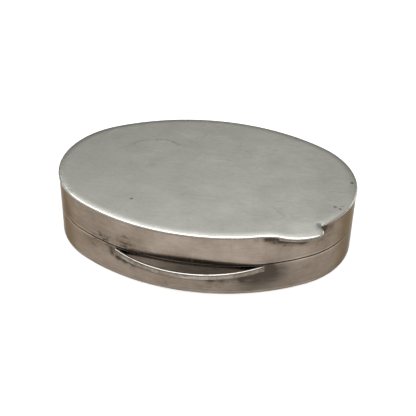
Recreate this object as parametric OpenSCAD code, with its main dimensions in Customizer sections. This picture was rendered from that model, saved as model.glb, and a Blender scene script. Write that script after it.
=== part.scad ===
// Oval hinged pill box of soldered sheet silver.
// Millimetres. +Z is up, +X runs along the long axis, and the front faces -Y.
// The origin is on the table, under the centre of the oval.
// The outline is a four-centre oval: two end arcs and two side arcs that meet smoothly.
// An "inset" is a distance inwards from that outline, along its normal.

/* [Box] */
// Length of the oval outline
box_length = 56; // [50:0.5:62]
// Width of the oval outline
box_width = 39.2; // [37:0.2:42]
// Radius of the two end arcs of the outline
end_radius = 16; // [15:0.5:17]
// Height of the closed box
box_height = 12.8; // [11.5:0.1:16]
// Height of the line where the lid meets the base
seam_height = 6.4; // [5.8:0.1:7]

/* [Sheet] */
// Thickness of the bottom plate
base_plate_t = 0.6; // [0.4:0.1:1]
// Thickness of the top plate
lid_plate_t = 0.5; // [0.4:0.1:0.8]
// Thickness of the band that forms the side of the base
base_wall_t = 0.8; // [0.7:0.1:0.9]
// Thickness of the band that forms the side of the lid
lid_wall_t = 0.7; // [0.6:0.1:0.8]
// How far the plates stand out past the bands
plate_overhang = 0.1; // [0.1:0.02:0.2]
// Gap between the closed lid and the base
seam_gap = 0.12; // [0.08:0.02:0.2]

/* [Bezel] */
// Thickness of the liner band that the lid slips over
bezel_t = 0.5; // [0.4:0.1:0.7]
// How far the liner band rises above the seam
bezel_rise = 1.5; // [1:0.1:2]
// How far the liner band reaches down below the seam
bezel_depth = 3; // [2:0.1:4]

/* [Thumb tab] */
// Centre of the rounded nose of the tab, along the box
tab_nose_x = 21; // [20:0.1:22]
// Centre of the rounded nose of the tab, across the box
tab_nose_y = -14.1; // [-15:0.1:-13.5]
// Radius of the nose
tab_nose_r = 1.7; // [1.2:0.1:1.9]
// Radius of the long front edge of the tab
tab_front_r = 9.2; // [8.5:0.1:10]
// Direction from the nose to the centre of the front edge's arc
tab_front_angle = 126; // [122:1:130]
// Angle that the front edge's arc covers
tab_front_sweep = 62; // [50:1:70]
// Thickness of the lug soldered under the tab
tab_lug_t = 0.35; // [0.2:0.05:0.6]
// Where the left end of the lug starts
tab_lug_start_x = 15.1; // [14.5:0.1:16]

/* [Grip bow] */
// Radius of the outer face of the bowed strip
bow_r = 21.9; // [21:0.1:23]
// How far the bow stands out past the outline of the box
bow_reach = 2.25; // [1.8:0.05:2.6]
// Distance from the ends of the strip to its middle
bow_half_length = 13.6; // [12:0.1:14.5]
// Distance of the strip's middle from the middle of the box
bow_shift = -0.3; // [-1:0.1:1]
// Thickness of the strip
bow_t = 0.5; // [0.4:0.1:0.8]
// Height of the strip
bow_height = 1.15; // [0.8:0.05:1.6]
// Distance from the seam down to the top of the strip
bow_drop = 0.35; // [0.2:0.05:1]
// Length of the solid foot at each end of the strip
bow_foot = 1.5; // [1:0.1:2]

/* [Hinge] */
// Outer radius of the knuckles
knuckle_r = 1; // [0.9:0.05:1.1]
// Length of one knuckle
knuckle_length = 2.6; // [2.2:0.1:2.8]
// Gap between two knuckles, and around a knuckle in the other half
knuckle_gap = 0.1; // [0.08:0.02:0.14]
// Radius of the hinge pin
pin_r = 0.4; // [0.3:0.05:0.5]
// Play between the pin and the knuckles of the lid
pin_play = 0.03; // [0.02:0.01:0.06]
// Distance from the back of the bands in to the hinge axis
hinge_inset = 0.65; // [0.6:0.05:0.7]
// Height of each hinge bearer
bearer_height = 1.7; // [1.5:0.1:2.5]
// How far each bearer reaches past the last knuckle
bearer_margin = 0.7; // [0.4:0.1:1]
// Width of sheet left in front of the knuckles
bearer_lip = 0.85; // [0.6:0.05:1]

/* [Hidden] */
$fn = 96;
half_l = box_length / 2;
half_w = box_width / 2;
side_radius = (pow(half_l, 2) + pow(half_w, 2) - 2 * half_l * end_radius)
    / (2 * (half_w - end_radius));
end_centre_x = half_l - end_radius;
side_centre_y = side_radius - half_w;
// Half of the angle that each end arc covers
end_half_angle = atan2(side_centre_y, end_centre_x);

base_inner_inset = plate_overhang + base_wall_t;
lid_inner_inset = plate_overhang + lid_wall_t;
base_top_z = seam_height - seam_gap / 2;
lid_bottom_z = seam_height + seam_gap / 2;
lid_plate_z = box_height - lid_plate_t;

tab_nose_centre = [tab_nose_x, tab_nose_y];
tab_front_centre = tab_nose_centre
    + (tab_front_r - tab_nose_r) * [cos(tab_front_angle), sin(tab_front_angle)];

bow_z = seam_height - bow_drop - bow_height;
bow_centre_y = half_w + bow_reach - bow_r;

hinge_y = half_w - plate_overhang - hinge_inset;
knuckle_pitch = knuckle_length + knuckle_gap;
hinge_half = 2 * knuckle_pitch + knuckle_length / 2;
bearer_half = hinge_half + bearer_margin;
bearer_y = hinge_y - knuckle_r - bearer_lip;
bearer_bottom_z = base_top_z - bearer_height;
// Room left round the bearers by the notch in the bezel
notch_gap = 0.2;
notch_y = bearer_y - notch_gap;
// How far cutting shapes reach past what they cut
cut_past = 0.5;
base_knuckles = [-2, 0, 2];
lid_knuckles = [-1, 1];

silver = [0.66, 0.64, 0.61];
silver_plate = [0.68, 0.70, 0.67];
bright_silver = [0.78, 0.77, 0.74];
dark_silver = [0.45, 0.42, 0.39];

// ---- outline ----

// The area inside the oval, less an inset.
module oval_area(inset) {
    joint_x = end_centre_x + (end_radius - inset) * cos(end_half_angle);
    intersection() {
        translate([0, -side_centre_y]) circle(side_radius - inset);
        translate([0, side_centre_y]) circle(side_radius - inset);
        square([2 * joint_x, box_width], center = true);
    }
    for (side = [-1, 1])
        translate([side * end_centre_x, 0]) circle(end_radius - inset);
}

// An oval band from z0 to z1 between two insets.
module band(inset_out, inset_in, z0, z1) {
    translate([0, 0, z0])
        linear_extrude(z1 - z0)
            difference() {
                oval_area(inset_out);
                oval_area(inset_in);
            }
}

// ---- hinge helpers ----

// A round bar along X, on the hinge axis, in the middle of knuckle place k.
module hinge_bar(k, radius, length) {
    translate([k * knuckle_pitch, hinge_y, seam_height])
        rotate([0, 90, 0])
            cylinder(r = radius, h = length, center = true);
}

// Clears the grooves: tight where the half's own knuckles sit, wider at the other's.
module hinge_grooves(own, other) {
    for (k = own) hinge_bar(k, knuckle_r, knuckle_length);
    for (k = other) hinge_bar(k, knuckle_r + knuckle_gap, knuckle_length + 2 * knuckle_gap);
}

module knuckle(k, bore_r) {
    difference() {
        hinge_bar(k, knuckle_r, knuckle_length);
        hinge_bar(k, bore_r, knuckle_length + 2 * cut_past);
    }
}

// A strip of sheet behind the knuckles that fills out to the band.
module bearer(inset, z0) {
    translate([0, 0, z0])
        linear_extrude(bearer_height)
            intersection() {
                translate([0, -side_centre_y]) circle(side_radius - inset);
                translate([-bearer_half, bearer_y]) square([2 * bearer_half, half_w]);
            }
}

// ---- base ----

module base_plate() {
    color(silver) linear_extrude(base_plate_t) oval_area(plate_overhang);
}

module base_wall() {
    color(silver)
        difference() {
            band(plate_overhang, base_inner_inset, base_plate_t, base_top_z);
            hinge_grooves(base_knuckles, lid_knuckles);
        }
}

module inner_bezel() {
    color(bright_silver)
        difference() {
            band(base_inner_inset, base_inner_inset + bezel_t,
                seam_height - bezel_depth, seam_height + bezel_rise);
            // Notch that leaves room for the hinge
            translate([-bearer_half - notch_gap, notch_y, bearer_bottom_z])
                cube([2 * (bearer_half + notch_gap), half_w - notch_y, box_height]);
        }
}

module grip_bow() {
    color(bright_silver)
        translate([0, 0, bow_z])
            linear_extrude(bow_height)
                difference() {
                    intersection() {
                        translate([bow_shift, -bow_centre_y]) circle(bow_r);
                        translate([bow_shift - bow_half_length, -box_width])
                            square([2 * bow_half_length, box_width]);
                    }
                    // The open gap, between the two feet
                    intersection() {
                        translate([bow_shift, -bow_centre_y]) circle(bow_r - bow_t);
                        translate([bow_shift - bow_half_length + bow_foot, -box_width])
                            square([2 * (bow_half_length - bow_foot), box_width]);
                    }
                    // The side of the base
                    translate([0, side_centre_y]) circle(side_radius - plate_overhang);
                }
}

module base_hinge_bearer() {
    color(silver)
        difference() {
            bearer(base_inner_inset, bearer_bottom_z);
            hinge_grooves(base_knuckles, lid_knuckles);
        }
}

module base_knuckle(k) {
    color(silver) knuckle(k, pin_r);
}

module hinge_pin() {
    color(dark_silver) hinge_bar(0, pin_r, 2 * hinge_half);
}

// ---- lid ----

// Outline of the tab. Its inner part lies over the plate.
module tab_area() {
    reach = 2 * tab_front_r;
    right = tab_front_angle + 180;
    left = right - tab_front_sweep;
    intersection() {
        translate(tab_front_centre) circle(tab_front_r);
        polygon([tab_front_centre,
            tab_front_centre + reach * [cos(left), sin(left)],
            tab_front_centre + reach * [cos(right), sin(right)]]);
    }
    translate(tab_nose_centre) circle(tab_nose_r);
}

module lid_plate() {
    color(silver_plate)
        translate([0, 0, lid_plate_z])
            linear_extrude(lid_plate_t) {
                oval_area(0);
                tab_area();
            }
}

module lid_wall() {
    color(silver)
        difference() {
            band(plate_overhang, lid_inner_inset, lid_bottom_z, lid_plate_z);
            hinge_grooves(lid_knuckles, base_knuckles);
        }
}

module thumb_tab() {
    color(bright_silver)
        translate([0, 0, lid_plate_z - tab_lug_t])
            linear_extrude(tab_lug_t)
                difference() {
                    intersection() {
                        tab_area();
                        translate([tab_lug_start_x, -box_width]) square(box_width);
                    }
                    oval_area(plate_overhang);
                }
}

module lid_hinge_bearer() {
    color(silver)
        difference() {
            bearer(lid_inner_inset, lid_bottom_z);
            hinge_grooves(lid_knuckles, base_knuckles);
        }
}

module lid_knuckle(k) {
    color(silver) knuckle(k, pin_r + pin_play);
}

// ---- nodes ----

base_plate();
base_wall();
inner_bezel();
grip_bow();
base_hinge_bearer();
base_knuckle(-2);  // base_knuckle_left
base_knuckle(0);  // base_knuckle_centre
base_knuckle(2);  // base_knuckle_right
hinge_pin();
lid_plate();
lid_wall();
thumb_tab();
lid_hinge_bearer();
lid_knuckle(-1);  // lid_knuckle_left
lid_knuckle(1);  // lid_knuckle_right
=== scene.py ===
"""Looks of an oval, hinged pill box of tarnished sheet silver. Lengths in metres, row frame."""

import math

import bmesh
import bpy
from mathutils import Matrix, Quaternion, Vector, noise


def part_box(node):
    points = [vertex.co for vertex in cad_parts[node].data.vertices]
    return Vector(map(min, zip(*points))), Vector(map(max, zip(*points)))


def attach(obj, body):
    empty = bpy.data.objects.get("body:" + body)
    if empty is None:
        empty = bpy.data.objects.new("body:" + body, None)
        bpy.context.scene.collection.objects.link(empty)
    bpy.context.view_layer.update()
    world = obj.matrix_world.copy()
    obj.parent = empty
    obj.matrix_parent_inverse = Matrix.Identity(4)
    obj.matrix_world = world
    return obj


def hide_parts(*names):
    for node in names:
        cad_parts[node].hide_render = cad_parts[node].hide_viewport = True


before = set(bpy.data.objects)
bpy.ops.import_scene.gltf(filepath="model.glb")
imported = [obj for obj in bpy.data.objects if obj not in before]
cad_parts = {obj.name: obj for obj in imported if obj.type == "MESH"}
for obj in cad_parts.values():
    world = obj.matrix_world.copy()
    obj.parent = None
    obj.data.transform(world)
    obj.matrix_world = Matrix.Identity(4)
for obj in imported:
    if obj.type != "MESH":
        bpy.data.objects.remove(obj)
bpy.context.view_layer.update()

MM = 0.001

# ---- sizes, worked out from the CAD boxes ----

PLATE_LOW, PLATE_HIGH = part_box("lid_plate")
HALF_LENGTH = (PLATE_HIGH.x - PLATE_LOW.x) / 2
HALF_WIDTH = PLATE_HIGH.y
END_RADIUS = HALF_LENGTH * 16 / 28  # the same share of the half length as in the CAD
SIDE_RADIUS = (HALF_LENGTH ** 2 + HALF_WIDTH ** 2 - 2 * HALF_LENGTH * END_RADIUS) / (
    2 * (HALF_WIDTH - END_RADIUS)
)
END_CENTRE_X = HALF_LENGTH - END_RADIUS
SIDE_CENTRE_Y = SIDE_RADIUS - HALF_WIDTH
END_HALF_ANGLE = math.atan2(SIDE_CENTRE_Y, END_CENTRE_X)

TOP_Z = PLATE_HIGH.z
PLATE_Z = PLATE_LOW.z
BASE_TOP_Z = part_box("base_wall")[1].z
LID_BOTTOM_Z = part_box("lid_wall")[0].z
SEAM_Z = (BASE_TOP_Z + LID_BOTTOM_Z) / 2
OVERHANG = HALF_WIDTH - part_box("base_plate")[1].y
BASE_WALL_T = 0.8 * MM
LID_WALL_T = 0.7 * MM
BEZEL_T = 0.5 * MM

PIN_LOW, PIN_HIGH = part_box("hinge_pin")
KNUCKLE_LOW, KNUCKLE_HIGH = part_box("base_knuckle_centre")
HINGE_Y = (PIN_LOW.y + PIN_HIGH.y) / 2
HINGE_Z = (PIN_LOW.z + PIN_HIGH.z) / 2
PIN_R = (PIN_HIGH.z - PIN_LOW.z) / 2
KNUCKLE_R = (KNUCKLE_HIGH.z - KNUCKLE_LOW.z) / 2 - 0.01 * MM
KNUCKLE_LENGTH = KNUCKLE_HIGH.x - KNUCKLE_LOW.x
KNUCKLE_GAP = 0.1 * MM
KNUCKLE_PITCH = KNUCKLE_LENGTH + KNUCKLE_GAP
PIN_PLAY = 0.03 * MM

# The knuckles' places along the pin, counted from its middle
BASE_PLACES = (-2, 0, 2)
LID_PLACES = (-1, 1)

# The grip: a strip with a rounded section, bowed along an arc
BOW_R = 21.9 * MM
BOW_T = 0.5 * MM
BOW_EDGE_R = 0.19 * MM

# The tab: an arc along its front, then a small arc round its nose
TAB_NOSE = Vector((21.0 * MM, -14.1 * MM))
TAB_NOSE_R = 1.7 * MM
TAB_NOSE_SWEEP = math.radians(150)
TAB_FRONT_R = 9.2 * MM
TAB_FRONT_ANGLE = math.radians(126)
TAB_FRONT_SWEEP = math.radians(62)

# Marks of use
DENT_SIZE = 6 * MM
WORN_DEPTH = 0.06 * MM

# Smoothness: points along one end of the oval, along the tab's arcs, along the grip and round the hinge
ARC_STEPS = 84
TAB_STEPS = 60
BOW_STEPS = 150
KNUCKLE_STEPS = 48
PIN_STEPS = 32


# ---- outline ----


def unit(angle):
    """The direction at an angle from the X axis."""
    return Vector((math.cos(angle), math.sin(angle)))


def arc_points(centre, radius, start, end, steps):
    """Points along an arc, all but the last."""
    return [centre + radius * unit(start + (end - start) * k / steps) for k in range(steps)]


def oval_stations():
    """(centre, direction, radius) of points round the oval, starting at the middle of the back."""
    side_half = math.pi / 2 - END_HALF_ANGLE
    back, front = Vector((0, -SIDE_CENTRE_Y)), Vector((0, SIDE_CENTRE_Y))
    left, right = Vector((-END_CENTRE_X, 0)), Vector((END_CENTRE_X, 0))
    arcs = [
        (back, SIDE_RADIUS, math.pi / 2, math.pi / 2 + side_half),
        (left, END_RADIUS, math.pi - END_HALF_ANGLE, math.pi + END_HALF_ANGLE),
        (front, SIDE_RADIUS, 1.5 * math.pi - side_half, 1.5 * math.pi + side_half),
        (right, END_RADIUS, -END_HALF_ANGLE, END_HALF_ANGLE),
        (back, SIDE_RADIUS, END_HALF_ANGLE, math.pi / 2),
    ]
    stations = []
    for centre, radius, start, end in arcs:
        steps = round(ARC_STEPS * (end - start) * radius / (2 * END_HALF_ANGLE * END_RADIUS))
        for k in range(steps):
            stations.append((centre, unit(start + (end - start) * k / steps), radius))
    return stations


STATIONS = oval_stations()


def oval_point(station, inset):
    """The station's point on the oval, moved inwards by the inset."""
    centre, direction, radius = station
    return centre + direction * (radius - inset)


def oval_distance(p):
    """Distance of a point outside the oval; negative inside."""
    x, y = abs(p.x), abs(p.y)
    if math.atan2(y + SIDE_CENTRE_Y, x) > END_HALF_ANGLE:
        return math.hypot(x, y + SIDE_CENTRE_Y) - SIDE_RADIUS
    return math.hypot(x - END_CENTRE_X, y) - END_RADIUS


def tab_outline():
    """Points along the tab's free edge, from its left root to the notch at its right end."""
    front_centre = TAB_NOSE + (TAB_FRONT_R - TAB_NOSE_R) * unit(TAB_FRONT_ANGLE)
    join = TAB_FRONT_ANGLE - math.pi
    points = arc_points(front_centre, TAB_FRONT_R, join - TAB_FRONT_SWEEP, join, TAB_STEPS)
    points += arc_points(TAB_NOSE, TAB_NOSE_R, join, join + TAB_NOSE_SWEEP, TAB_STEPS)
    return [p for p in points if oval_distance(p) > 0.02 * MM]


def plate_outline():
    """The oval with the tab let into it, counter-clockwise."""
    tab = tab_outline()
    oval = [oval_point(s, 0) for s in STATIONS]
    first = next(k for k, p in enumerate(oval) if p.y < 0 and p.x > tab[0].x - 0.2 * MM)
    last = next(k for k, p in enumerate(oval) if k > first and p.y > tab[-1].y + 0.1 * MM)
    joined = oval[:first] + tab + oval[last:]
    return ease_root(joined, tab[0])


def ease_root(points, root, reach=1.6 * MM, rounds=40):
    """Rounds the inner corner where the tab's front edge leaves the oval."""
    for _ in range(rounds):
        fresh = list(points)
        for k, p in enumerate(points):
            if (p - root).length < reach:
                a, b = points[k - 1], points[(k + 1) % len(points)]
                fresh[k] = (a + b + 2 * p) / 4
        points = fresh
    return points


def outline_normals(points):
    """Directions straight out of a counter-clockwise outline, one for each point."""
    normals = []
    for k in range(len(points)):
        t = points[(k + 1) % len(points)] - points[k - 1]
        normals.append(Vector((t.y, -t.x)).normalized())
    return normals


# ---- mesh building ----


def add_object(name, data):
    """Puts a new object in the scene."""
    thing = bpy.data.objects.new(name, data)
    bpy.context.scene.collection.objects.link(thing)
    return thing


def mesh_object(name, bm):
    """An object made from a finished bmesh."""
    mesh = bpy.data.meshes.new(name)
    bm.to_mesh(mesh)
    bm.free()
    return add_object(name, mesh)


def solid_object(name, bm):
    """An object with all its faces turned outwards."""
    bmesh.ops.recalc_face_normals(bm, faces=bm.faces)
    return mesh_object(name, bm)


def new_piece(name, bm, body, replaced, slot, *materials):
    """Makes the piece from its mesh, rides it on its body and hides what it stands for."""
    piece = solid_object(name, bm)
    mesh = piece.data
    mesh.polygons.foreach_set("use_smooth", [True] * len(mesh.polygons))
    for material in materials:
        mesh.materials.append(material)
    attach(piece, body)
    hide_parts(replaced)
    return piece


def paint_layers(bm):
    """The layers that the materials read: rubbed edges, stains with painted shadows, soot with painted
    shade and reflections, and the sheet's coordinates.
    """
    wear = bm.verts.layers.float.new("wear")
    stain_and_shadow = bm.verts.layers.float.new("stain_and_shadow")
    soot_and_shade = bm.verts.layers.float.new("soot_and_shade")
    grain = bm.verts.layers.float_vector.new("grain")
    return wear, stain_and_shadow, soot_and_shade, grain


def bell(distance, width):
    """1 at no distance, falling off to both sides."""
    return math.exp(-((distance / width) ** 2))


def smooth(x, low, high):
    """0 below low, 1 above high, smooth between."""
    t = max(0.0, min(1.0, (x - low) / (high - low)))
    return t * t * (3 - 2 * t)


# Stains on the side, and painted shadows below the grip strip and under the tab: (x, y, z, radius,
# strength), in millimetres. They ride with the metal.
SIDE_STAINS_AND_SHADOWS = [
    (-15.8, -16.0, 6.9, 1.8, 0.9),
    (-12.0, -17.6, 7.6, 2.4, 0.7),
    (-9.0, -18.6, 7.0, 2.0, 0.5),
    (-18.5, -14.8, 5.6, 2.4, 0.6),
    # Painted shadow below the grip strip
    (-4.0, -19.3, 3.4, 2.4, 0.4),
    (4.0, -19.4, 4.2, 2.6, 0.7),
    (8.5, -18.6, 4.4, 2.0, 0.6),
    # Painted shadow under the tab
    (15.3, -16.6, 11.5, 1.0, 1.2),
    (13.6, -17.1, 11.9, 0.9, 1.1),
    (17.0, -16.0, 10.6, 1.3, 0.7),
    (21.8, -12.8, 11.6, 1.3, 0.9),
    (22.5, -12.2, 9.0, 2.4, 0.5),
    (-24.0, -10.5, 8.4, 2.4, 0.45),
    (-26.0, -7.0, 4.0, 3.0, 0.4),
    (0.0, 19.5, 6.4, 4.0, 0.6),
    (-8.0, 18.6, 5.0, 3.0, 0.45),
    (18.0, 15.0, 4.0, 3.5, 0.45),
]

# Smooth dark patches, in the same form: painted shadow under the tab, painted shade in the notches beside
# it and round the grip strip, and darker patches on the base and the sides
SIDE_SHADE_AND_DARK_PATCHES = [
    # Painted shadow under the tab
    (15.6, -16.2, 11.2, 0.6, 1.6),
    (16.6, -15.8, 11.1, 0.7, 2.0),
    (17.8, -15.1, 11.0, 0.8, 2.4),
    (19.0, -14.5, 10.9, 0.9, 2.6),
    (20.2, -13.8, 10.9, 0.9, 2.6),
    (19.4, -14.2, 10.1, 0.8, 0.8),
    # Darker patches on the base right of the grip strip and below its right end, and a faint one on the
    # lid
    (16.0, -16.0, 4.5, 2.5, 0.35),
    (12.0, -17.7, 2.5, 3.0, 0.38),
    (-8.0, -18.5, 10.5, 3.0, 0.12),
    # Painted shade in the notches at both ends of the tab
    (14.4, -17.0, 11.9, 0.7, 1.6),
    (13.2, -17.4, 12.0, 0.6, 1.0),
    (11.6, -18.0, 11.9, 0.6, 0.5),
    (14.6, -16.9, 10.9, 0.5, 0.8),
    (21.6, -13.0, 11.9, 0.9, 1.5),
    (22.8, -11.9, 11.8, 0.8, 1.3),
    (22.6, -12.1, 11.0, 0.6, 0.7),
    (24.0, -10.7, 11.3, 0.8, 0.5),
    # Painted shade at the grip strip's left foot, and a line of painted shadow below the strip
    (-14.4, -16.8, 5.5, 0.7, 1.0),
    (-12.8, -17.5, 4.7, 0.6, 0.7),
    (-14.3, -16.8, 4.4, 0.5, 1.0),
    (-13.2, -17.3, 3.9, 0.5, 1.0),
    (-11.8, -17.8, 3.5, 0.5, 0.8),
    (-10.2, -18.3, 3.2, 0.5, 0.6),
    # Painted shade at the grip strip's right end, and painted shadow below the strip
    (14.0, -17.0, 5.6, 0.9, 1.0),
    (13.0, -17.4, 4.7, 0.8, 0.8),
    (14.5, -16.7, 4.0, 2.6, 0.55),
    (10.5, -18.2, 3.0, 3.0, 0.5),
    (4.0, -19.3, 3.1, 0.7, 0.7),
    (6.0, -19.1, 3.0, 0.6, 0.6),
    (9.4, -18.5, 3.2, 0.6, 0.6),
    # Faint broad darkening on the base, and darker patches on both sides
    (19.0, -14.9, 4.0, 4.0, 0.12),
    (26.0, -8.0, 9.0, 6.0, 0.34),
    (-25.5, -9.0, 10.5, 4.0, 0.30),
    (-17.0, -15.0, 10.5, 5.0, 0.30),
]


def spots_at(p, spot_list):
    """How strongly a list of round spots covers the point."""
    total = 0
    for x, y, z, radius, strength in spot_list:
        d = (p - Vector((x, y, z)) * MM).length
        total += strength * bell(d, radius * MM)
    return total


def shade_behind_grip(p):
    """Painted shade on the base behind the grip strip with a streak of painted shadow below it, and the
    strip's painted reflection: a low dark arch on the lid above it.
    """
    low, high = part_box("grip_bow")
    if p.y > high.y:
        return 0.0
    # across runs from -1 at the strip's left end to 1 at its right end
    across = 2 * (p.x - low.x) / (high.x - low.x) - 1
    arch = max(0.0, 1 - across * across)
    heavier = 0.55 + 0.45 * smooth(across, -0.6, 0.1)
    # On the lid: the strip's painted reflection, a low dark arch above the seam
    if p.z >= SEAM_Z:
        if arch <= 0.05:
            return 0.0
        top = SEAM_Z + 1.5 * MM * arch
        return heavier * (1 - smooth(p.z, top - 0.35 * MM, top + 0.05 * MM))
    # On the base: painted shade behind the strip, and a streak of painted shadow below it
    foot = low.z - 1.4 * MM * arch
    streak = low.z - (0.85 + arch) * MM
    below = (0.75 - 0.35 * smooth(across, -0.6, 0.2)) * bell(p.z - streak, 0.28 * MM)
    return (heavier * smooth(p.z, foot, foot + 0.5 * MM) + below) * smooth(arch, 0.0, 0.12)


def dent(p, size, depth):
    """How far hand work has left the sheet in from its true face, between 0 and depth."""
    n = noise.noise(p / size) * 0.65 + noise.noise(p / size * 2.3 + Vector((7, 3, 1))) * 0.35
    return depth * (0.5 + 0.5 * max(-1, min(1, n * 1.6)))


def rounded_rectangle(in_0, in_1, z0, z1, radii, rows, corner_steps=4):
    """Closed profile of (inset, z), with rows of points down its outer face.

    Its four radii are for the outer bottom, inner bottom, inner top and outer top corner.
    """
    corners = [
        (in_0, z0, 1, 1, radii[0], math.pi),
        (in_1, z0, -1, 1, radii[1], 1.5 * math.pi),
        (in_1, z1, -1, -1, radii[2], 0),
        (in_0, z1, 1, -1, radii[3], 0.5 * math.pi),
    ]
    points = []
    for x, z, sx, sz, r, start in corners:
        for k in range(corner_steps + 1):
            a = start + 0.5 * math.pi * k / corner_steps
            points.append((x + sx * r + r * math.cos(a), z + sz * r + r * math.sin(a)))
    last, first = points[-1], points[0]
    for k in range(1, rows):
        points.append((in_0, last[1] + (first[1] - last[1]) * k / rows))
    return points


def band_mesh(profile, seam_edge_z, wear_width, spot_list, dent_depth, inset_out):
    """Sweeps a closed profile round the oval, rubbed bright beside its edge at the seam."""
    bm = bmesh.new()
    wear, stain_and_shadow, soot_and_shade, grain = paint_layers(bm)
    face = [oval_point(station, inset_out) for station in STATIONS]
    around = sum((a - b).length for a, b in zip(face, face[1:] + face[:1]))
    # The sheet's coordinates are rolled into a round band, so that they meet without a join
    rolled = around / (2 * math.pi)
    along = 0.0
    rings = []
    for k, station in enumerate(STATIONS):
        here = face[k]
        along += (here - face[k - 1]).length if k else 0.0
        turn = unit(along / rolled)
        ring = []
        for inset, z in profile:
            p = oval_point(station, inset)
            q = p - station[1] * dent(Vector((here.x, here.y, z)), DENT_SIZE, dent_depth)
            v = bm.verts.new((q.x, q.y, z))
            outer = bell(inset - inset_out, 0.1 * MM)
            from_edge = abs(z - seam_edge_z)
            v[wear] = 0.6 * outer * bell(from_edge - 0.2 * MM, wear_width)
            if spot_list:
                spot = Vector((p.x, p.y, z))
                # Stains, and painted shadows below the grip strip and under the tab
                v[stain_and_shadow] = spots_at(spot, spot_list)
                edge_line = bell(from_edge, 0.07 * MM) * smooth(inset - inset_out, -0.01 * MM, 0.1 * MM)
                # Painted shade, shadows and a painted reflection round the grip strip and the tab, and a
                # dark line along the seam
                v[soot_and_shade] = spots_at(spot, SIDE_SHADE_AND_DARK_PATCHES) + shade_behind_grip(spot) + edge_line
            radius = rolled - inset
            v[grain] = (radius * turn.x, radius * turn.y, z)
            ring.append(v)
        rings.append(ring)
    close_rings(bm, rings)
    return bm


def close_rings(bm, rings, loop=True):
    """Faces between neighbouring closed rings, and from the last to the first if they loop."""
    count = len(rings[0])
    for i in range(len(rings) if loop else len(rings) - 1):
        a, b = rings[i], rings[(i + 1) % len(rings)]
        for k in range(count):
            m = (k + 1) % count
            bm.faces.new((a[k], a[m], b[m], b[k]))


def close_bar(bm, rings):
    """Faces along a bar of closed rings, and one over each end."""
    close_rings(bm, rings, loop=False)
    bm.faces.new(rings[0])
    bm.faces.new(rings[-1])


def plate_profile(z0, rim_z, z1, r_bottom, r_top, rubbed, steps=5):
    """(inset, z) from the underside round the edge to the top, which is worn down to rim_z there."""
    margin = 0.25 * MM + 0.6 * MM * rubbed
    angles = [0.5 * math.pi * k / steps for k in range(steps + 1)]
    profile = [(r_bottom + 0.25 * MM, z0)]
    for a in angles:
        profile.append((r_bottom * (1 - math.sin(a)), z0 + r_bottom * (1 - math.cos(a))))
    for a in angles:
        profile.append((r_top * (1 - math.cos(a)), rim_z - r_top * (1 - math.sin(a))))
    profile.append((r_top + margin, z1))
    profile.append((r_top + margin + 0.4 * MM * rubbed + 0.01 * MM, z1))
    return profile


def plate_mesh(outline, z0, z1, r_bottom, r_top, spot_list, rubbed, darkened=0.0):
    """A flat sheet with rounded edges: rings of the outline moved inwards, and two flat faces.

    rubbed is how bright and worn the top edge is. Faces of the side get the second material, and
    the underside gets the third.
    """
    bm = bmesh.new()
    wear, stain_and_shadow, soot_and_shade, grain = paint_layers(bm)
    normals = outline_normals(outline)
    rim_z = z1 - WORN_DEPTH * rubbed
    rings = []
    for inset, z in plate_profile(z0, rim_z, z1, r_bottom, r_top, rubbed):
        turned_up = smooth(z, rim_z - 0.7 * r_top, rim_z - 0.15 * r_top)
        # A dark line along the bottom of the edge: painted shade under the lid's rim and under the tab's
        # lug
        foot = 0.8 * bell(z - z0, 0.12 * MM) if inset < r_top else 0.0
        ring = []
        for p, n in zip(outline, normals):
            q = p - n * inset
            v = bm.verts.new((q.x, q.y, z))
            v[wear] = rubbed * turned_up * bell(inset, 1.5 * r_top)
            v[stain_and_shadow] = spots_at(v.co, spot_list)
            v[soot_and_shade] = max(darkened, foot)
            v[grain] = v.co
            ring.append(v)
        rings.append(ring)
    close_rings(bm, rings, loop=False)
    for face in bm.faces:
        if face.calc_center_median().z < rim_z - 0.75 * r_top:
            face.material_index = 1
    bm.faces.new(rings[0]).material_index = 2
    bm.faces.new(rings[-1])
    return bm


def turned_rings(bm, profile, steps):
    """Circles of vertices round the hinge's axis, one for each (x, radius) of the profile."""
    rings = []
    for x, radius in profile:
        ring = []
        for k in range(steps):
            across = radius * unit(2 * math.pi * k / steps)
            ring.append(bm.verts.new((x, HINGE_Y + across.x, HINGE_Z + across.y)))
        rings.append(ring)
    return rings


def cut(piece, cutter):
    """Cuts the cutter object out of a piece, for good."""
    modifier = piece.modifiers.new("cut", "BOOLEAN")
    modifier.operation = "DIFFERENCE"
    modifier.solver = "EXACT"
    modifier.object = cutter
    bpy.context.view_layer.update()
    graph = bpy.context.evaluated_depsgraph_get()
    fresh = bpy.data.meshes.new_from_object(piece.evaluated_get(graph))
    piece.modifiers.clear()
    old = piece.data
    piece.data = fresh
    bpy.data.meshes.remove(old)
    bpy.data.objects.remove(cutter)
    return piece


def groove_cutter(own, other):
    """A turned bar that is tight at its own half's knuckles and wider at the other half's."""
    sections = []
    for k in sorted(own + other):
        gap = KNUCKLE_GAP if k in other else 0.0
        half = KNUCKLE_LENGTH / 2 + gap
        middle = k * KNUCKLE_PITCH
        sections += [(middle - half, KNUCKLE_R + gap), (middle + half, KNUCKLE_R + gap)]
    bm = bmesh.new()
    close_bar(bm, turned_rings(bm, sections, KNUCKLE_STEPS))
    return solid_object("groove", bm)


# ---- materials ----


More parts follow.
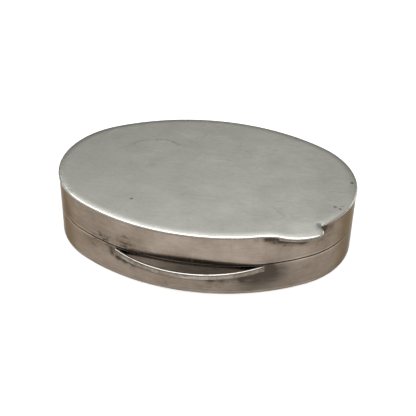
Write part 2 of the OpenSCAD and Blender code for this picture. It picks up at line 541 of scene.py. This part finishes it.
class Nodes:
    """Short calls for building the node tree of a material or the world."""

    def __init__(self, owner):
        owner.use_nodes = True
        self.tree = owner.node_tree
        self.tree.nodes.clear()

    def add(self, kind, **values):
        node = self.tree.nodes.new("ShaderNode" + kind)
        for name, value in values.items():
            self.set(node.inputs[name.replace("_", " ")], value)
        return node

    def set(self, socket, value):
        if isinstance(value, bpy.types.NodeSocket):
            self.tree.links.new(value, socket)
        else:
            socket.default_value = value

    def math(self, operation, a, b=0.0, clamp=False):
        node = self.tree.nodes.new("ShaderNodeMath")
        node.operation = operation
        node.use_clamp = clamp
        self.set(node.inputs[0], a)
        self.set(node.inputs[1], b)
        return node.outputs[0]

    def ramp(self, value, low, high):
        """0 below low, 1 above high, smooth between."""
        node = self.tree.nodes.new("ShaderNodeMapRange")
        node.interpolation_type = "SMOOTHSTEP"
        self.set(node.inputs["Value"], value)
        node.inputs["From Min"].default_value = low
        node.inputs["From Max"].default_value = high
        return node.outputs["Result"]

    def mix(self, factor, a, b):
        node = self.tree.nodes.new("ShaderNodeMix")
        node.data_type = "RGBA"
        self.set(node.inputs["Factor"], factor)
        colours = [s for s in node.inputs if s.type == "RGBA"]
        self.set(colours[0], a)
        self.set(colours[1], b)
        return next(s for s in node.outputs if s.type == "RGBA")

    def blend(self, factor, a, b):
        """a where factor is 0, b where it is 1, for plain numbers."""
        return self.math("ADD", self.math("MULTIPLY", factor, b - a), a)

    def stretched(self, coords, sizes, turn=0.0):
        """Coordinates turned about Z and then measured in units of the given sizes."""
        node = self.tree.nodes.new("ShaderNodeMapping")
        node.vector_type = "TEXTURE"
        self.set(node.inputs["Vector"], coords)
        node.inputs["Rotation"].default_value = (0, 0, turn)
        node.inputs["Scale"].default_value = sizes
        return node.outputs[0]

    def noise(self, coords, scale, detail=4.0, roughness=0.55, distortion=0.0):
        node = self.add("TexNoise", Vector=coords, Scale=scale, Detail=detail)
        node.inputs["Roughness"].default_value = roughness
        node.inputs["Distortion"].default_value = distortion
        return node.outputs["Fac"]

    def layer(self, name):
        node = self.tree.nodes.new("ShaderNodeAttribute")
        node.attribute_name = name
        return node

    def outside(self, value, low, high):
        """1 below low, 0 above high, smooth between."""
        return self.math("SUBTRACT", 1.0, self.ramp(value, low, high))


def scratches(n, coords, upright, length, width, share):
    """Short straight scratches. share is roughly how much they cover."""
    total = 0.0
    for turn in (0.0,) if upright else (0.25, -0.6, 1.2):
        sizes = (length, length, width) if upright else (length, width, length)
        lines = n.stretched(coords, sizes, turn)
        field = n.noise(lines, 1.0, detail=0.0)
        total = n.math("ADD", total, n.ramp(field, 0.76 - share, 0.86 - share), clamp=True)
    return total


def hairlines(n, coords, size, width):
    """Long, faint, wandering lines, broken up by a second noise."""
    field = n.noise(coords, 1 / size, detail=1.5, distortion=0.8)
    offset = n.math("ABSOLUTE", n.math("SUBTRACT", field, 0.5))
    gaps = n.ramp(n.noise(coords, 1.7 / size, detail=2.0), 0.48, 0.62)
    return n.math("MULTIPLY", n.outside(offset, 0.0, width / size), gaps)


def distance_from(n, coords, x, y):
    """Distance on a flat sheet from (x, y) millimetres."""
    flat = n.add("VectorMath", Vector=coords)
    flat.operation = "MULTIPLY"
    flat.inputs[1].default_value = (1, 1, 0)
    away = n.add("VectorMath")
    away.operation = "DISTANCE"
    n.set(away.inputs[0], flat.outputs["Vector"])
    away.inputs[1].default_value = (x * MM, y * MM, 0)
    return away.outputs["Value"]


def round_spot(n, coords, x, y, radius, edge=0.4):
    """1 inside a spot at (x, y) millimetres on a flat sheet, falling to 0 at its edge."""
    return n.outside(distance_from(n, coords, x, y), edge * radius * MM, radius * MM)


def pits(n, coords, size, share):
    """Small round pits scattered over the metal."""
    node = n.add("TexVoronoi", Vector=coords, Scale=1 / size)
    tone = n.add("SeparateColor", Color=node.outputs["Color"])
    chosen = n.ramp(tone.outputs["Red"], 1 - share, 1 - share + 0.01)
    return n.math("MULTIPLY", chosen, n.outside(node.outputs["Distance"], 0.04, 0.13))


# The curved stain on the lid: part of a ring that shows inside a round area. In millimetres.
CURVE_X, CURVE_Y, CURVE_R = -10.6, 2.8, 7.0
CURVE_AREA = (-11.0, 10.2, 7.5)

# Where a thumb has kept the tab bright: x, y and radius, in millimetres
THUMB_AREA = (19.6, -14.6, 4.2)

# Spots on the lid: (x, y, radius, strength), in millimetres
LID_SPOTS = [
    (-11.8, -11.0, 0.35, 0.8), (26.9, 1.7, 0.45, 0.7), (24.2, -6.6, 0.5, 0.5), (25.1, -7.1, 0.4, 0.6),
    (21.7, -12.3, 0.6, 0.5), (11.7, 10.3, 0.8, 0.09), (-10.6, 0.4, 1.2, 0.07),
    (-13.0, -3.4, 0.4, 0.12), (-23.4, -10.8, 1.0, 0.2), (-3.0, -8.0, 0.4, 0.1),
]

# The colour of soot, and of painted shade, shadows and reflections
SOOT_AND_SHADE_COLOUR = (0.042, 0.033, 0.026, 1)
EDGE_TINT = (0.42, 0.38, 0.33, 1)


def lid_marks(n, coords, ragged):
    """The marks on the lid: a curved stain, and a few small dark spots and smudges."""
    slow = n.noise(coords, 300.0, detail=2.0)
    wobble = n.math("MULTIPLY", n.math("SUBTRACT", slow, 0.5), 3.0 * MM)
    out_to = n.math("ADD", distance_from(n, coords, CURVE_X, CURVE_Y), wobble)
    off_line = n.math("ABSOLUTE", n.math("SUBTRACT", out_to, CURVE_R * MM))
    line = n.outside(off_line, 0.1 * MM, 0.55 * MM)
    near = round_spot(n, coords, *CURVE_AREA, edge=0.5)
    total = n.math("MULTIPLY", n.math("MULTIPLY", line, near), n.ramp(ragged, 0.2, 0.6))
    total = n.math("MULTIPLY", total, 0.28)
    for x, y, radius, strength in LID_SPOTS:
        spot = round_spot(n, coords, x, y, radius)
        total = n.math("MAXIMUM", total, n.math("MULTIPLY", spot, strength))
    return total


class Worn:
    """The patterns and vertex layers that all the silver is mixed from."""

    def __init__(self, n, grit, upright, coords_from):
        if coords_from == "grain":
            coords = n.layer("grain").outputs["Vector"]
            self.wear = n.layer("wear").outputs["Fac"]
            self.stain_and_shadow = n.layer("stain_and_shadow").outputs["Fac"]
            self.soot_and_shade = n.layer("soot_and_shade").outputs["Fac"]
        else:
            coords = n.add("TexCoord").outputs["Object"]
            self.wear, self.stain_and_shadow, self.soot_and_shade = 0.1, 0.1, 0.1
        long_way = (2.9 * MM, 2.9 * MM, 0.45 * MM) if upright else (2.9 * MM, 0.45 * MM, 0.45 * MM)
        self.coords = coords
        self.clouds = n.noise(coords, 150.0, detail=5.0, roughness=0.6)
        self.mottle = n.noise(coords, 1400.0, detail=5.0 if upright else 2.0, roughness=0.65)
        self.smears = n.noise(n.stretched(coords, long_way), 1.0, detail=4.0, distortion=0.5)
        self.fine = scratches(n, coords, upright, 7 * MM, 0.4 * MM, 0.03 * grit)
        self.hair = hairlines(n, coords, 14 * MM, 0.10 * MM)
        self.pitted = pits(n, coords, 3.0 * MM, 0.07 * grit)
        patchy_wear = n.math("ADD", n.ramp(self.smears, 0.38, 0.62), 0.35)
        self.wear = n.math("MULTIPLY", self.wear, patchy_wear, clamp=True)
        clear_of_soot_and_shade = n.math("SUBTRACT", 1.0, self.soot_and_shade, clamp=True)
        self.wear = n.math("MULTIPLY", self.wear, clear_of_soot_and_shade)


def tarnish_cover(n, worn, amount, cloudy):
    """How far tarnish covers the metal: cloudy, heavier in stains and painted shadows, and gone where it
    is rubbed.
    """
    patchy = n.math("ADD", n.math("MULTIPLY", worn.clouds, 0.8), n.math("MULTIPLY", worn.mottle, 0.25))
    patchy = n.math("ADD", patchy, n.math("MULTIPLY", worn.smears, 0.3))
    covered = n.math("ADD", n.math("MULTIPLY", n.math("SUBTRACT", patchy, 0.675), cloudy), amount)
    covered = n.math("ADD", covered, n.math("MULTIPLY", worn.stain_and_shadow, 0.25))
    return n.math("SUBTRACT", covered, n.math("MULTIPLY", worn.wear, 1.2), clamp=True)


def ragged_dirt_and_shadow(n, worn):
    """Dirt in the stains and painted shadow in the shadow spots, broken up into ragged patches, and dirt
    in the pits.
    """
    broken = n.math("ADD", n.math("MULTIPLY", worn.mottle, 0.5), n.math("MULTIPLY", worn.smears, 0.9))
    broken = n.math("ADD", broken, n.math("MULTIPLY", worn.stain_and_shadow, 0.16))
    dirt_and_shadow = n.math("MULTIPLY", n.math("MULTIPLY", worn.stain_and_shadow, 1.4), n.ramp(broken, 0.80, 0.96))
    dirt_and_shadow = n.math("MAXIMUM", dirt_and_shadow, n.math("MULTIPLY", worn.pitted, 0.8))
    unworn = n.math("SUBTRACT", 1.0, worn.wear, clamp=True)
    return n.math("MULTIPLY", dirt_and_shadow, unworn, clamp=True)


def fine_relief(n, worn, grit):
    """The surface normal: slow waves, a fine grain, and what the scratches and pits take away."""
    height = n.math("MULTIPLY", worn.clouds, 0.9)
    height = n.math("ADD", height, n.math("MULTIPLY", worn.mottle, 0.05 * grit))
    for pattern, depth in ((worn.fine, 0.006 * grit), (worn.hair, 0.01 * grit), (worn.pitted, 0.15)):
        height = n.math("SUBTRACT", height, n.math("MULTIPLY", pattern, depth))
    bump = n.add("Bump", Height=height)
    bump.inputs["Strength"].default_value = 0.5
    bump.inputs["Distance"].default_value = 0.12 * MM
    return bump.outputs["Normal"]


def silver(name, clean, tarnish, grime_and_shadow, amount, rough, grit=1.0, cloudy=1.0, upright=False,
           marked=False, coords_from="grain"):
    """Worn silver: clean metal under a cloudy tarnish, with stains, scratches, pits, rubbed edges, and
    painted shade and shadows.
    """
    material = bpy.data.materials.new(name)
    n = Nodes(material)
    worn = Worn(n, grit, upright, coords_from)
    covered = tarnish_cover(n, worn, amount, cloudy)
    dirt_and_shadow = ragged_dirt_and_shadow(n, worn)
    uneven = n.math("ADD", n.math("MULTIPLY", worn.smears, 0.5), 0.78)
    dark = n.math("MULTIPLY", worn.soot_and_shade, uneven, clamp=True)
    if marked:
        dark = n.math("MAXIMUM", dark, lid_marks(n, worn.coords, worn.mottle))
        thumbed = round_spot(n, worn.coords, *THUMB_AREA, edge=0.3)
        covered = n.math("SUBTRACT", covered, n.math("MULTIPLY", thumbed, 0.6), clamp=True)

    colour = n.mix(covered, clean, tarnish)
    colour = n.mix(n.math("MULTIPLY", worn.fine, 0.14 * grit), colour, clean)
    colour = n.mix(n.math("MULTIPLY", worn.hair, 0.14 * grit), colour, grime_and_shadow)
    # Dirt, and painted shadow in the shadow spots
    colour = n.mix(n.math("MULTIPLY", dirt_and_shadow, 0.80), colour, grime_and_shadow)
    # Soot, and painted shade, shadows and reflections, darken the colour here
    colour = n.mix(n.math("MULTIPLY", dark, 0.92), colour, SOOT_AND_SHADE_COLOUR)

    roughness = n.blend(covered, rough[0], rough[1])
    roughness = n.math("ADD", roughness, n.math("MULTIPLY", worn.fine, 0.06))
    roughness = n.math("ADD", roughness, n.math("MULTIPLY", dirt_and_shadow, 0.22), clamp=True)

    shader = n.add("BsdfPrincipled", Base_Color=colour, Roughness=roughness)
    n.set(shader.inputs["Normal"], fine_relief(n, worn, grit))
    n.set(shader.inputs["Metallic"], n.math("SUBTRACT", 1.0, n.math("MULTIPLY", dirt_and_shadow, 0.6)))
    shader.inputs["Specular Tint"].default_value = EDGE_TINT
    n.add("OutputMaterial", Surface=shader.outputs["BSDF"])
    return material


def top_silver():
    return silver(
        "silver_top",
        clean=(0.94, 0.935, 0.87, 1), tarnish=(0.60, 0.605, 0.54, 1), grime_and_shadow=(0.05, 0.045, 0.035, 1),
        amount=0.50, rough=(0.26, 0.36), grit=0.7, cloudy=1.7, marked=True,
    )


def wall_silver():
    return silver(
        "silver_wall",
        clean=(0.58, 0.50, 0.425, 1), tarnish=(0.168, 0.132, 0.101, 1), grime_and_shadow=(0.036, 0.026, 0.018, 1),
        amount=0.80, rough=(0.18, 0.26), cloudy=0.7, upright=True,
    )


def trim_silver():
    return silver(
        "silver_trim",
        clean=(0.92, 0.90, 0.86, 1), tarnish=(0.18, 0.15, 0.12, 1), grime_and_shadow=(0.05, 0.04, 0.03, 1),
        amount=0.85, rough=(0.20, 0.30),
    )


def inside_silver():
    return silver(
        "silver_inside",
        clean=(0.86, 0.84, 0.79, 1), tarnish=(0.58, 0.53, 0.45, 1), grime_and_shadow=(0.12, 0.10, 0.08, 1),
        amount=0.40, rough=(0.24, 0.36), grit=0.7,
    )


def hinge_silver(coords_from="grain"):
    """coords_from is "object" for the CAD shapes, since they have no vertex layers."""
    return silver(
        "silver_hinge_" + coords_from,
        clean=(0.84, 0.80, 0.75, 1), tarnish=(0.36, 0.30, 0.25, 1), grime_and_shadow=(0.05, 0.04, 0.03, 1),
        amount=0.60, rough=(0.24, 0.36), coords_from=coords_from,
    )


def paper_white():
    material = bpy.data.materials.new("paper_white")
    n = Nodes(material)
    tone = n.noise(n.add("TexCoord").outputs["Object"], 3.0, detail=2.0)
    colour = n.mix(tone, (0.93, 0.93, 0.93, 1), (0.95, 0.95, 0.95, 1))
    shader = n.add("BsdfPrincipled", Base_Color=colour, Roughness=0.9)
    # Light from below the sheet, as on a light table, keeps the shadow faint
    shader.inputs["Emission Color"].default_value = (1, 1, 1, 1)
    shader.inputs["Emission Strength"].default_value = 0.50
    n.add("OutputMaterial", Surface=shader.outputs["BSDF"])
    return material


TOP = top_silver()
WALL = wall_silver()
TRIM = trim_silver()
INSIDE = inside_silver()
HINGE = hinge_silver()
BEARER = hinge_silver("object")

# ---- base ----


def bottom_plate():
    outline = [oval_point(s, OVERHANG) for s in STATIONS]
    z1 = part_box("base_plate")[1].z
    bm = plate_mesh(outline, 0.0, z1, r_bottom=0.28 * MM, r_top=0.02 * MM, spot_list=SIDE_STAINS_AND_SHADOWS, rubbed=0.0)
    return new_piece("bottom_plate", bm, "base", "base_plate", "silver_wall", INSIDE, WALL, WALL)


def base_band():
    z0, z1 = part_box("base_wall")[0].z, BASE_TOP_Z
    radii = (0.02 * MM, 0.02 * MM, 0.06 * MM, 0.13 * MM)
    profile = rounded_rectangle(OVERHANG, OVERHANG + BASE_WALL_T, z0, z1, radii, rows=24)
    bm = band_mesh(
        profile, seam_edge_z=z1, wear_width=0.12 * MM, spot_list=SIDE_STAINS_AND_SHADOWS, dent_depth=0.04 * MM,
        inset_out=OVERHANG,
    )
    piece = new_piece("base_band", bm, "base", "base_wall", "silver_wall", WALL)
    return cut(piece, groove_cutter(BASE_PLACES, LID_PLACES))


def bezel_band():
    low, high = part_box("inner_bezel")
    inset = OVERHANG + BASE_WALL_T
    radii = (0.03 * MM, 0.08 * MM, 0.12 * MM, 0.12 * MM)
    profile = rounded_rectangle(inset, inset + BEZEL_T, low.z, high.z, radii, rows=8)
    bm = band_mesh(
        profile, seam_edge_z=high.z, wear_width=0.3 * MM, spot_list=[], dent_depth=0.0, inset_out=inset
    )
    piece = new_piece("bezel_band", bm, "base", "inner_bezel", "silver_inside", INSIDE)
    bearer_low, bearer_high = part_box("base_hinge_bearer")
    # The notch leaves room for the bearer and the knuckles
    notch = bmesh.new()
    bmesh.ops.create_cube(notch, size=1)
    for v in notch.verts:
        v.co.x *= 2 * (bearer_high.x + 0.2 * MM)
        v.co.y = HINGE_Y - 3 * MM if v.co.y < 0 else HINGE_Y + 2 * MM
        v.co.z = bearer_low.z if v.co.z < 0 else TOP_Z
    return cut(piece, solid_object("notch", notch))


def bow_reach(centre, direction, t, left, right):
    """The strip's inner and outer reach from its arc's centre. Its feet go in to the side."""
    side = reach_to_circle(centre, direction, Vector((0, SIDE_CENTRE_Y)), SIDE_RADIUS - OVERHANG)
    free = BOW_R - BOW_T
    foot = smooth(abs(t), 0.86, 0.93)
    ends = min(round_off(left, 0.4 * MM), round_off(right, 0.15 * MM))
    return max(side, free + (side - free) * foot), BOW_R - 0.12 * MM * (1 - ends)


def grip_strip():
    """The bowed strip: a rounded section carried along an arc, with feet that meet the side."""
    low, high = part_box("grip_bow")
    centre = Vector(((low.x + high.x) / 2, low.y + BOW_R))
    z_mid, half_height = (low.z + high.z) / 2, (high.z - low.z) / 2
    end_angle = math.asin((high.x - low.x) / 2 / BOW_R)
    bm = bmesh.new()
    wear, stain_and_shadow, soot_and_shade, grain = paint_layers(bm)
    rings = []
    for i in range(BOW_STEPS + 1):
        # Stations crowd towards the ends, where the strip is rounded off
        t = -math.cos(math.pi * i / BOW_STEPS)
        a = end_angle * t
        direction = Vector((math.sin(a), -math.cos(a)))
        left = (1 + t) * end_angle * BOW_R
        right = (1 - t) * end_angle * BOW_R
        inner, outer = bow_reach(centre, direction, t, left, right)
        tall = half_height * min(round_off(left, 0.55 * MM), round_off(right, 0.2 * MM, 0.55))
        ring = []
        for u, w, faces_up, faces_in in strip_section(BOW_EDGE_R, outer - inner, 2 * tall):
            p = centre + direction * (inner + u)
            v = bm.verts.new((p.x, p.y, z_mid + w))
            v[wear] = 1.5 * smooth(faces_up, 0.45, 0.9)
            v[stain_and_shadow] = 0.35 + 0.5 * smooth(abs(t), 0.85, 1.0)
            # Painted shade on the inner face and the underside, and a painted reflection: a dark line on
            # the outer face just below the top
            behind = smooth(faces_in, 0.3, 0.9)
            below = smooth(-faces_up, 0.3, 0.8)
            under_edge = bell(w - tall + 0.26 * MM, 0.08 * MM) * smooth(-faces_in, 0.5, 0.9)
            v[soot_and_shade] = 0.9 * behind + 0.8 * below + 0.8 * under_edge
            v[grain] = (a * BOW_R, u, w)
            ring.append(v)
        rings.append(ring)
    close_bar(bm, rings)
    return new_piece("grip_strip", bm, "base", "grip_bow", "silver_trim", TRIM)


def round_off(distance, radius, floor=0.12):
    """Share of the full height left at a distance from an end rounded to that radius."""
    if distance >= radius:
        return 1.0
    t = 1 - distance / radius
    return max(floor, math.sqrt(max(0.0, 1 - t * t)))


def reach_to_circle(start, direction, centre, radius):
    """Distance along direction from start to the far side of a circle."""
    d = start - centre
    b = d.dot(direction)
    return -b + math.sqrt(b * b - d.length_squared + radius * radius)


def strip_section(r, depth, height, steps=4, rows=10):
    """The strip's section, clockwise from the top.

    Each point is (distance out, height, how far it faces up, how far it faces in).
    """
    r = min(r, depth * 0.45, height * 0.45)
    corners = [(depth, 0.5, -1, 0.5), (depth, -0.5, -1, 0), (0, -0.5, 1, -0.5), (0, 0.5, 1, -1)]
    points = []
    for u, side, inward, start in corners:
        centre_u = u + inward * r
        centre_w = side * height - math.copysign(r, side)
        turned = []
        for k in range(steps + 1):
            out, up = unit(math.pi * (start - 0.5 * k / steps))
            turned.append((centre_u + r * out, centre_w + r * up, up, -out))
        points += turned
        if side * inward < 0:
            # A long face follows: rows of points down its middle
            u1, w1, up, inwards = turned[-1]
            for k in range(1, rows + 1):
                points.append((u1, w1 - 2 * w1 * k / (rows + 1), up, inwards))
    return points


def knuckle(name, place, body, node, bore):
    """One turned tube of the hinge, with its edges taken off."""
    edge = 0.08 * MM
    half = KNUCKLE_LENGTH / 2
    end = [
        (half - edge, KNUCKLE_R), (half - 0.3 * edge, KNUCKLE_R - 0.3 * edge), (half, KNUCKLE_R - edge),
        (half, bore + edge), (half - edge, bore),
    ]
    profile = [(0, KNUCKLE_R)] + end + [(-x, radius) for x, radius in reversed(end)]
    x_mid = place * KNUCKLE_PITCH
    bm = bmesh.new()
    wear, stain_and_shadow, _, grain = paint_layers(bm)
    close_rings(bm, turned_rings(bm, [(x_mid + x, radius) for x, radius in profile], KNUCKLE_STEPS))
    for v in bm.verts:
        v[wear] = 0.25 + 0.75 * bell(abs(v.co.x - x_mid) - half, 0.15 * MM)
        v[stain_and_shadow] = 0.3
        v[grain] = v.co
    return new_piece(name, bm, body, node, "silver_hinge", HINGE)


def knuckles():
    for place, side in zip(BASE_PLACES, ("left", "centre", "right")):
        knuckle("knuckle_base_" + side, place, "base", "base_knuckle_" + side, PIN_R)
    for place, side in zip(LID_PLACES, ("left", "right")):
        knuckle("knuckle_lid_" + side, place, "lid", "lid_knuckle_" + side, PIN_R + PIN_PLAY)


def pin():
    """The hinge pin, its ends softly domed."""
    half = PIN_HIGH.x
    right = [(half, 0.5 * PIN_R), (half - 0.05 * MM, 0.85 * PIN_R), (half - 0.18 * MM, PIN_R)]
    left = [(-x, radius) for x, radius in right]
    bm = bmesh.new()
    wear, _, _, grain = paint_layers(bm)
    close_bar(bm, turned_rings(bm, left + right[::-1], PIN_STEPS))
    for v in bm.verts:
        v[wear] = 0.5
        v[grain] = v.co
    return new_piece("pin", bm, "base", "hinge_pin", "silver_hinge", HINGE)


# ---- lid ----

# Stains on the lid's top, in the same form as those on the side
PLATE_STAINS = [
    (-9.0, -6.0, 12.8, 1.0, 0.3),
    (25.5, -6.5, 12.8, 0.9, 0.9),
    (26.5, 1.5, 12.8, 1.2, 0.7),
]


def top_plate():
    bm = plate_mesh(
        plate_outline(), PLATE_Z, TOP_Z,
        r_bottom=0.05 * MM, r_top=0.32 * MM, spot_list=PLATE_STAINS, rubbed=1.0,
    )
    return new_piece("top_plate", bm, "lid", "lid_plate", "silver_top", TOP, WALL, INSIDE)


def lid_band():
    z0, z1 = LID_BOTTOM_Z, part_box("lid_wall")[1].z
    radii = (0.13 * MM, 0.06 * MM, 0.02 * MM, 0.02 * MM)
    profile = rounded_rectangle(OVERHANG, OVERHANG + LID_WALL_T, z0, z1, radii, rows=24)
    bm = band_mesh(
        profile, seam_edge_z=z0, wear_width=0.12 * MM, spot_list=SIDE_STAINS_AND_SHADOWS, dent_depth=0.03 * MM,
        inset_out=OVERHANG,
    )
    piece = new_piece("lid_band", bm, "lid", "lid_wall", "silver_wall", WALL)
    return cut(piece, groove_cutter(LID_PLACES, BASE_PLACES))


def tab_lug():
    """The lug under the tab: the tab's edge, closed along the side of the lid."""
    low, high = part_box("thumb_tab")
    edge = [p for p in tab_outline() if p.x > low.x and oval_distance(p) > 0]
    wall = [oval_point(s, OVERHANG) for s in STATIONS]
    root = [p for p in wall if low.x < p.x < edge[-1].x + 1 * MM and p.y < edge[-1].y - 0.1 * MM]
    outline = edge + list(reversed(root))
    # The lug is darkened evenly all over
    bm = plate_mesh(
        outline, low.z, high.z, r_bottom=0.08 * MM, r_top=0.03 * MM, spot_list=[], rubbed=0.0, darkened=0.35
    )
    return new_piece("tab_lug", bm, "lid", "thumb_tab", "silver_trim", TRIM, TRIM, TRIM)


def bearers():
    """The two hinge bearers keep their CAD shape and get the hinge's metal."""
    for node in ("base_hinge_bearer", "lid_hinge_bearer"):
        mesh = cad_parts[node].data
        mesh.materials.clear()
        mesh.materials.append(BEARER)


# ---- stage ----


def floor():
    bm = bmesh.new()
    bmesh.ops.create_grid(bm, x_segments=8, y_segments=8, size=3.0)
    plane = mesh_object("floor", bm)
    plane.data.materials.append(paper_white())


def soft_box(name, place, size, power):
    """A rectangular light that faces the middle of the scene."""
    light = bpy.data.lights.new(name, "AREA")
    light.shape = "RECTANGLE"
    light.size, light.size_y = size
    light.energy = power
    lamp = add_object(name, light)
    lamp.location = place
    lamp.rotation_mode = "QUATERNION"
    lamp.rotation_quaternion = (-Vector(place)).to_track_quat("-Z", "Y")


# The photograph's view: it looks down at the front, a little from the right, turned slightly
CAMERA_AZIMUTH = math.radians(8.63)
CAMERA_ELEVATION = math.radians(35.70)
CAMERA_ROLL = math.radians(1.42)
CAMERA_DISTANCE = 6.319 * HALF_LENGTH
CAMERA_AIM = Vector((-0.0209, 0.2276, 0)) * HALF_LENGTH
CAMERA_LENS = 76.13

# How light the room is at each height: 0 is level with the box or lower, 1 is straight up
ROOM_TONES = [(0.0, 0.16), (0.44, 0.17), (0.60, 0.62), (1.0, 0.80)]
# How far to the right its brightest part lies, how far off it ends, and what is left there
ROOM_SHIFT = 0.06
ROOM_REACH = 0.30
ROOM_SIDES = 0.45


def room():
    """A pale room, darker towards the horizon, and brightest straight behind and in front of the box."""
    world = bpy.data.worlds.new("studio")
    bpy.context.scene.world = world
    n = Nodes(world)
    coords = n.add("TexCoord").outputs["Generated"]
    split = n.add("SeparateXYZ", Vector=coords)
    tones = n.add("ValToRGB", Fac=split.outputs["Z"])
    elements = tones.color_ramp.elements
    while len(elements) < len(ROOM_TONES):
        elements.new(0.5)
    for element, (place, tone) in zip(elements, ROOM_TONES):
        element.position = place
        element.color = (tone, tone, tone * 0.985, 1)
    across = n.add("VectorMath", Vector=coords)
    across.operation = "DOT_PRODUCT"
    across.inputs[1].default_value = (math.cos(CAMERA_AZIMUTH), math.sin(CAMERA_AZIMUTH), 0)
    away = n.math("ABSOLUTE", n.math("SUBTRACT", across.outputs["Value"], ROOM_SHIFT))
    strength = n.blend(n.ramp(away, 0.0, ROOM_REACH), 1.0, ROOM_SIDES)
    back = n.add("Background", Color=tones.outputs["Color"], Strength=strength)
    n.add("OutputWorld", Surface=back.outputs[0])


def studio():
    """The room, one large soft box overhead, and a small one behind for the edges."""
    room()
    soft_box("overhead", place=(-0.05, -0.08, 0.60), size=(1.6, 0.86), power=5.6)
    soft_box("edge light", place=(0.75, 0.85, 0.45), size=(0.5, 0.5), power=0.8)


def camera():
    level = math.cos(CAMERA_ELEVATION)
    back = Vector((
        math.sin(CAMERA_AZIMUTH) * level,
        -math.cos(CAMERA_AZIMUTH) * level,
        math.sin(CAMERA_ELEVATION),
    ))
    data = bpy.data.cameras.new("camera")
    data.sensor_width = 36
    data.lens = CAMERA_LENS
    data.clip_start = 0.01
    cam = add_object("camera", data)
    cam.location = CAMERA_AIM + back * CAMERA_DISTANCE
    cam.rotation_mode = "QUATERNION"
    roll = Quaternion((0, 0, 1), CAMERA_ROLL)
    cam.rotation_quaternion = (-back).to_track_quat("-Z", "Y") @ roll
    bpy.context.scene.camera = cam


bottom_plate()
base_band()
bezel_band()
grip_strip()
knuckles()
pin()
top_plate()
lid_band()
tab_lug()
bearers()
floor()
studio()
camera()
bpy.context.scene.view_settings.view_transform = "Standard"
